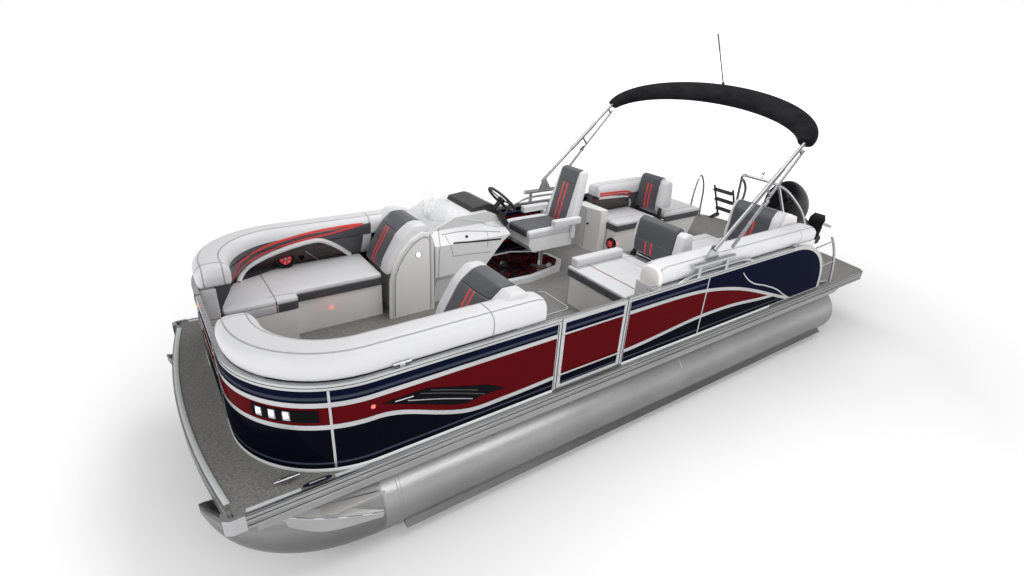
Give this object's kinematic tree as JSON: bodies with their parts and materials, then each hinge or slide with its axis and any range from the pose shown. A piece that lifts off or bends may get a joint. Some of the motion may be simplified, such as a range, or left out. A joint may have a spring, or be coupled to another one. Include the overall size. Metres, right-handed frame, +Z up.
{
  "type": "pontoon boat",
  "caption": "Triple-tube pontoon boat with fenced deck, bow and aft lounges, helm console and swivel chair, folded canopy arch and a tilted outboard motor",
  "frame": {"origin": "on the ground plane under the keels, below the middle of the boat's overall box", "axes": "+X to the bow, +Y to port, +Z up"},
  "size_m": [9.0472, 2.6658, 3.4929],
  "materials": {
    "tube_metal": "brushed",
    "rail_metal": "satin anodised",
    "skin_paint": "gloss",
    "deck_vinyl": "woven vinyl",
    "seat_vinyl": "soft vinyl",
    "dark_vinyl": "soft vinyl",
    "base_plastic": "satin",
    "console_gel": "gel coat",
    "black_plastic": "satin",
    "black_metal": "powder coat",
    "screen": "clear",
    "steel": "polished",
    "canvas": "woven canvas",
    "motor_black": "gloss"
  },
  "bodies": {
    "hull": {"outer_tubes": "tube_metal", "centre_tube": "tube_metal", "tube_risers": "tube_metal", "cross_members": "tube_metal", "side_skirts": "tube_metal", "deck": "deck_vinyl", "rub_rails": "rail_metal", "corner_caps": "steel", "floor_locker": "base_plastic", "fence_frames": "rail_metal", "fence_skins": "skin_paint", "fence_trim": "rail_metal", "fence_inserts": "black_plastic", "cleats": "steel", "seat_bases": "base_plastic", "seat_cushions": "seat_vinyl", "side_panels": "dark_vinyl", "coamings": "seat_vinyl", "chaise_shells": "base_plastic", "chaise_pads": "dark_vinyl", "cabinet": "base_plastic", "aft_bolster": "seat_vinyl", "aft_back_shell": "base_plastic", "aft_back_pad": "dark_vinyl", "flip_pivots": "black_metal", "console": "console_gel", "windscreen": "screen", "dash": "black_plastic", "throttle": "black_plastic", "helm_dais": "console_gel", "chair_pedestal": "steel", "canopy_rails": "rail_metal", "stern_rails": "steel", "ski_bar": "steel", "ladder_lugs": "black_metal", "motor_pod": "tube_metal", "motor_clamp": "motor_black"},
    "bow_gate": {"bow_gate_frame": "rail_metal", "bow_gate_skin": "skin_paint"},
    "side_gate": {"side_gate_frame": "rail_metal", "side_gate_skin": "skin_paint"},
    "hatch": {"hatch_lid": "deck_vinyl"},
    "helm_chair": {"chair_frame": "console_gel", "chair_cushion": "seat_vinyl", "chair_back": "dark_vinyl", "chair_arms": "seat_vinyl"},
    "wheel": {"steering_wheel": "black_plastic"},
    "flip_seat_starboard": {"flip_back_starboard": "dark_vinyl", "flip_arms_starboard": "black_metal"},
    "flip_seat_port": {"flip_back_port": "dark_vinyl", "flip_arms_port": "black_metal"},
    "canopy": {"canopy_frame": "rail_metal", "canopy_boot": "canvas", "mast": "black_plastic"},
    "struts": {"canopy_struts": "rail_metal"},
    "boarding_ladder": {"ladder": "black_metal"},
    "motor_bracket": {"motor_swivel": "motor_black"},
    "motor": {"motor_cowl": "motor_black", "motor_leg": "motor_black"},
    "screw": {"propeller": "steel"}
  },
  "joints": [
    {"name": "bow_gate_hinge", "type": "hinge", "parent": "hull", "child": "bow_gate", "pos_m": [4.2084, -0.345, 1.2], "axis": [0, 0, 1], "range_deg": [0, 90]},
    {"name": "side_gate_hinge", "type": "hinge", "parent": "hull", "child": "side_gate", "pos_m": [1.3677, 1.2257, 1.2], "axis": [0, 0, -1], "range_deg": [0, 90]},
    {"name": "hatch_hinge", "type": "hinge", "parent": "hull", "child": "hatch", "pos_m": [1.4677, -0.25, 0.8703], "axis": [1, 0, 0], "range_deg": [0, 95]},
    {"name": "chair_swivel", "type": "hinge", "parent": "hull", "child": "helm_chair", "pos_m": [0.7027, -0.74, 1.1], "axis": [0, 0, 1], "continuous": true},
    {"name": "steering_wheel_turn", "type": "hinge", "parent": "hull", "child": "wheel", "pos_m": [1.2827, -0.74, 1.78], "axis": [-0.7314, 0, 0.682], "range_deg": [-540, 540]},
    {"name": "flip_starboard_hinge", "type": "hinge", "parent": "hull", "child": "flip_seat_starboard", "pos_m": [-1.1773, -0.812, 1.271], "axis": [0, 1, 0], "range_deg": [-25, 25]},
    {"name": "flip_port_hinge", "type": "hinge", "parent": "hull", "child": "flip_seat_port", "pos_m": [0.0977, 0.435, 1.271], "axis": [0, 1, 0], "range_deg": [-25, 25]},
    {"name": "canopy_fold", "type": "hinge", "parent": "hull", "child": "canopy", "pos_m": [0.3227, 0, 1.77], "axis": [0, 1, 0], "range_deg": [-24, 0]},
    {"name": "strut_fold", "type": "hinge", "parent": "canopy", "child": "struts", "pos_m": [-0.2636, 0, 2.09978], "axis": [0, 1, 0], "range_deg": [-7.92, 0]},
    {"name": "ladder_hinge", "type": "hinge", "parent": "hull", "child": "boarding_ladder", "pos_m": [-3.2193, -0.925, 0.905], "axis": [0, 1, 0], "range_deg": [-199, 0]},
    {"name": "motor_tilt", "type": "hinge", "parent": "hull", "child": "motor_bracket", "pos_m": [-3.3523, 0, 0.845], "axis": [0, 1, 0], "range_deg": [-62, 4]},
    {"name": "motor_steer", "type": "hinge", "parent": "motor_bracket", "child": "motor", "pos_m": [-3.63876, 0, 0.85124], "axis": [0.8829, 0, 0.4695], "range_deg": [-30, 30]},
    {"name": "propeller_spin", "type": "hinge", "parent": "motor", "child": "screw", "pos_m": [-4.36027, 0, 0.86628], "axis": [0.4695, 0, -0.8829], "continuous": true}
  ],
  "couplings": [
    {"joint": "motor_steer", "follows": "steering_wheel_turn", "ratio": 0.055556},
    {"joint": "strut_fold", "follows": "canopy_fold", "ratio": 0.33}
  ]
}
